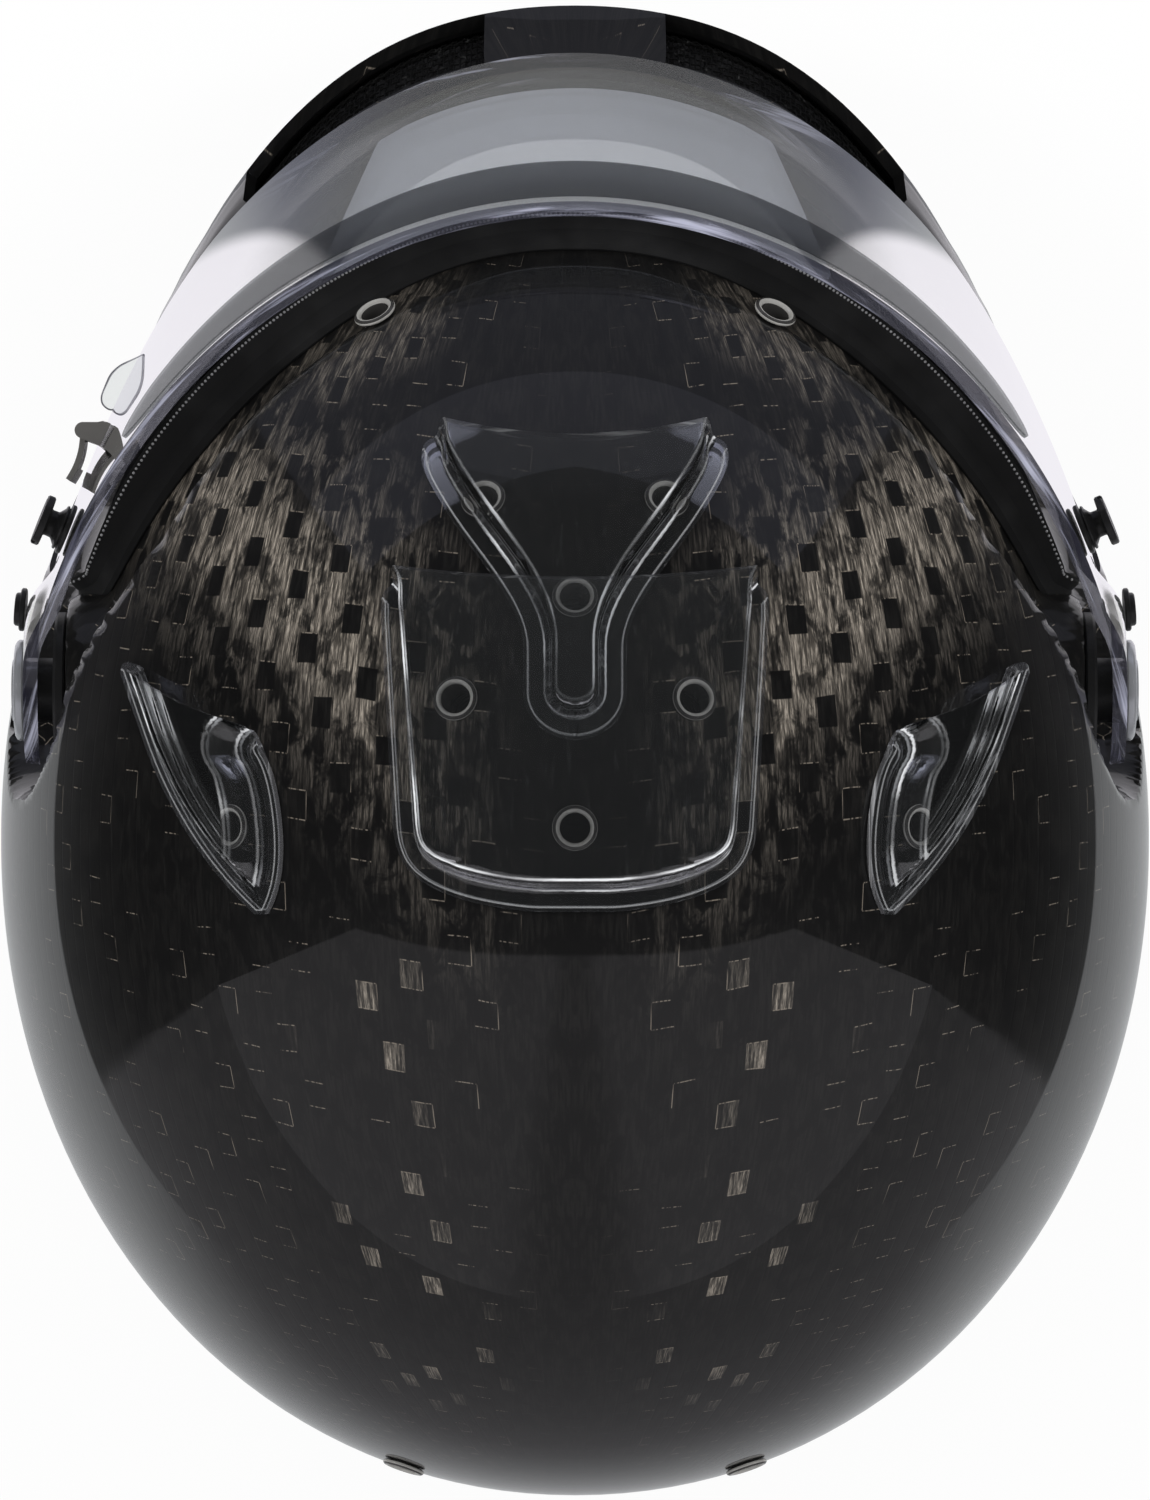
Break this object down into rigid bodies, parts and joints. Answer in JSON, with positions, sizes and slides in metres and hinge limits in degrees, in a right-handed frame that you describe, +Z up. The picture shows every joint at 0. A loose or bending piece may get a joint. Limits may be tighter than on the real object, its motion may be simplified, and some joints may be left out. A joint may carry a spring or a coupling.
{
  "type": "racing helmet",
  "caption": "Full-face racing helmet with a carbon shell, hinged clear visor, clear air scoops, vent eyelets, padding and a D-ring chin strap.",
  "frame": {"origin": "under the middle of the helmet, on the plane that its bottom edge stands on", "axes": "+Z up through the crown, -Y towards the face and visor, +X towards the wearer's left"},
  "size_m": [0.255, 0.3347, 0.2698],
  "materials": {
    "carbon": "gloss clear-coated carbon laminate",
    "foam": "matt bead foam",
    "pad": "knitted lining cloth",
    "seal": "matt black",
    "clear_visor": "clear gloss",
    "clear_insert": "faint blue-grey",
    "tint": "translucent dark grey film",
    "clear_scoop": "clear gloss",
    "black_plastic": "satin moulded",
    "steel": "brushed",
    "dark_metal": "black anodised",
    "screw_metal": "turned",
    "insert_metal": "zinc plated",
    "webbing": "woven webbing",
    "mesh": "black wire mesh"
  },
  "bodies": {
    "shell": {"outer_shell": "carbon", "impact_liner": "foam", "chin_bar_liner": "foam", "crown_pad": "pad", "cheek_pad_left": "pad", "cheek_pad_right": "pad", "neck_roll": "pad", "eyeport_gasket": "seal", "bottom_trim": "seal", "pivot_plate_left": "black_plastic", "pivot_plate_right": "black_plastic", "pivot_screw_left": "screw_metal", "pivot_screw_right": "screw_metal", "lock_stud": "steel", "front_scoop": "clear_scoop", "rear_scoop": "clear_scoop", "side_scoop_left": "clear_scoop", "side_scoop_right": "clear_scoop", "brow_eyelets": "dark_metal", "front_scoop_eyelets": "dark_metal", "rear_scoop_eyelets": "dark_metal", "side_scoop_eyelets": "dark_metal", "exhaust_eyelets": "dark_metal", "chin_vent_mesh_left": "mesh", "chin_vent_mesh_right": "mesh", "restraint_inserts": "insert_metal", "strap_anchors": "insert_metal", "strap_rivets": "dark_metal", "chin_strap_left": "webbing", "chin_strap_right": "webbing", "strap_snap": "black_plastic"},
    "visor": {"visor": "clear_visor", "anti_fog_insert": "clear_insert", "sun_strip": "tint", "opening_tab": "clear_visor", "tear_off_posts": "black_plastic", "visor_buttons": "black_plastic", "lock_bracket": "steel", "lock_pin": "steel"},
    "lock_lever": {"lock_lever": "steel"},
    "d_ring_inner": {"d_ring_inner": "insert_metal"},
    "d_ring_outer": {"d_ring_outer": "insert_metal"}
  },
  "joints": [
    {"name": "visor_hinge", "type": "hinge", "parent": "shell", "child": "visor", "pos_m": [0, -0.013, 0.15], "axis": [-1, 0, 0], "range_deg": [0, 35]},
    {"name": "lock_lever_hinge", "type": "hinge", "parent": "visor", "child": "lock_lever", "pos_m": [0.1084, -0.07044, 0.119], "axis": [0, 0, -1], "range_deg": [0, 75]},
    {"name": "d_ring_inner_hinge", "type": "hinge", "parent": "shell", "child": "d_ring_inner", "pos_m": [0.0465, 0, 0.021], "axis": [0, 1, 0], "range_deg": [0, 70]},
    {"name": "d_ring_outer_hinge", "type": "hinge", "parent": "shell", "child": "d_ring_outer", "pos_m": [0.052, 0, 0.021], "axis": [0, -1, 0], "range_deg": [0, 45]}
  ]
}
